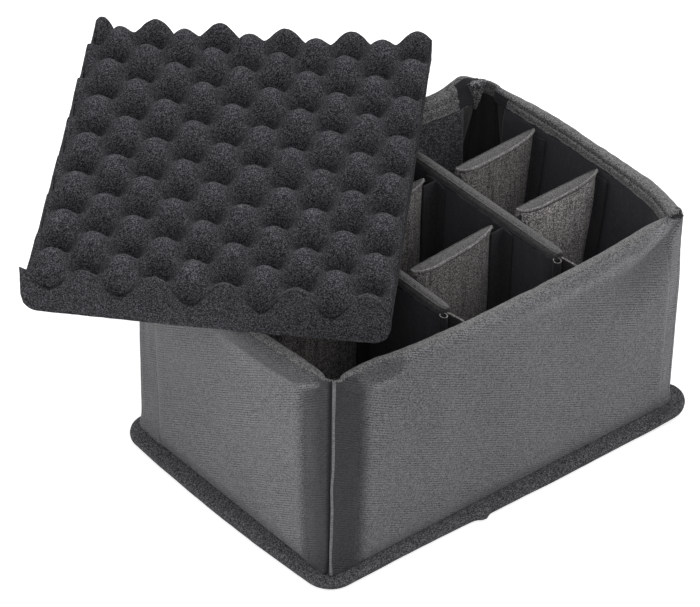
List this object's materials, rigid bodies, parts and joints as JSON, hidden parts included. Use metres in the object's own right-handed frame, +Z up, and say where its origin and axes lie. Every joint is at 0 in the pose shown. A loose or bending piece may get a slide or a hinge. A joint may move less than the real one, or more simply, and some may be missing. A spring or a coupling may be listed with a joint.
{
  "type": "padded divider insert",
  "caption": "Soft padded divider insert for a small hard case: grey nylon walls, black loop lining, hook-tape dividers, and an egg-crate foam lid pad lying askew on its rim.",
  "frame": {"origin": "middle of the underside of the insert's base, on the surface it rests on", "axes": "+X along the long front wall to the right as seen from the front, +Y from the front wall to the back wall, +Z up"},
  "size_m": [0.3633, 0.3551, 0.176],
  "materials": {
    "grey_nylon": "matt grey woven nylon",
    "divider_nylon": "matt brushed grey cloth",
    "black_loop": "black brushed loop pile",
    "knit_binding": "dark grey knitted edge binding",
    "hook_tape": "black hook tape",
    "white_foam": "closed-cell foam, hidden",
    "charcoal_foam": "open-cell charcoal foam",
    "board": "stiff board, hidden"
  },
  "bodies": {
    "insert": {"front_wall_cover": "grey_nylon", "front_wall_foam": "white_foam", "front_wall_lining": "black_loop", "back_wall_cover": "grey_nylon", "back_wall_foam": "white_foam", "back_wall_lining": "black_loop", "left_wall_cover": "grey_nylon", "left_wall_foam": "white_foam", "left_wall_lining": "black_loop", "right_wall_cover": "grey_nylon", "right_wall_foam": "white_foam", "right_wall_lining": "black_loop", "front_right_corner_gusset": "grey_nylon", "front_right_corner_seam": "grey_nylon", "back_right_corner_gusset": "grey_nylon", "back_right_corner_seam": "grey_nylon", "back_left_corner_gusset": "grey_nylon", "back_left_corner_seam": "grey_nylon", "front_left_corner_gusset": "grey_nylon", "front_left_corner_seam": "grey_nylon", "base_underside_cloth": "black_loop", "base_board": "board", "floor_lining": "black_loop", "base_binding": "knit_binding", "long_divider_left_cover": "divider_nylon", "long_divider_left_foam": "white_foam", "long_divider_left_front_tab": "hook_tape", "long_divider_left_back_tab": "hook_tape", "long_divider_right_cover": "divider_nylon", "long_divider_right_foam": "white_foam", "long_divider_right_front_tab": "hook_tape", "long_divider_right_back_tab": "hook_tape"},
    "short_divider_left_front": {"short_divider_left_front_cover": "divider_nylon", "short_divider_left_front_foam": "white_foam", "short_divider_left_front_left_tab": "hook_tape", "short_divider_left_front_right_tab": "hook_tape"},
    "short_divider_left_back": {"short_divider_left_back_cover": "divider_nylon", "short_divider_left_back_foam": "white_foam", "short_divider_left_back_left_tab": "hook_tape", "short_divider_left_back_right_tab": "hook_tape"},
    "short_divider_middle_front": {"short_divider_middle_front_cover": "divider_nylon", "short_divider_middle_front_foam": "white_foam", "short_divider_middle_front_left_tab": "hook_tape", "short_divider_middle_front_right_tab": "hook_tape"},
    "short_divider_middle_back": {"short_divider_middle_back_cover": "divider_nylon", "short_divider_middle_back_foam": "white_foam", "short_divider_middle_back_left_tab": "hook_tape", "short_divider_middle_back_right_tab": "hook_tape"},
    "short_divider_right_front": {"short_divider_right_front_cover": "divider_nylon", "short_divider_right_front_foam": "white_foam", "short_divider_right_front_left_tab": "hook_tape", "short_divider_right_front_right_tab": "hook_tape"},
    "short_divider_right_back": {"short_divider_right_back_cover": "divider_nylon", "short_divider_right_back_foam": "white_foam", "short_divider_right_back_left_tab": "hook_tape", "short_divider_right_back_right_tab": "hook_tape"},
    "foam_pad": {"foam_pad": "charcoal_foam"}
  },
  "joints": [
    {"name": "pad_lift", "type": "slide", "parent": "insert", "child": "foam_pad", "axis": [0, 0, 1], "range_m": [0, 0.15]},
    {"name": "short_divider_left_front_shift", "type": "slide", "parent": "insert", "child": "short_divider_left_front", "axis": [0, 1, 0], "range_m": [-0.01, 0.01]},
    {"name": "short_divider_left_back_shift", "type": "slide", "parent": "insert", "child": "short_divider_left_back", "axis": [0, 1, 0], "range_m": [-0.01, 0.01]},
    {"name": "short_divider_middle_front_shift", "type": "slide", "parent": "insert", "child": "short_divider_middle_front", "axis": [0, 1, 0], "range_m": [-0.01, 0.01]},
    {"name": "short_divider_middle_back_shift", "type": "slide", "parent": "insert", "child": "short_divider_middle_back", "axis": [0, 1, 0], "range_m": [-0.01, 0.01]},
    {"name": "short_divider_right_front_shift", "type": "slide", "parent": "insert", "child": "short_divider_right_front", "axis": [0, 1, 0], "range_m": [-0.01, 0.01]},
    {"name": "short_divider_right_back_shift", "type": "slide", "parent": "insert", "child": "short_divider_right_back", "axis": [0, 1, 0], "range_m": [-0.01, 0.01]}
  ]
}
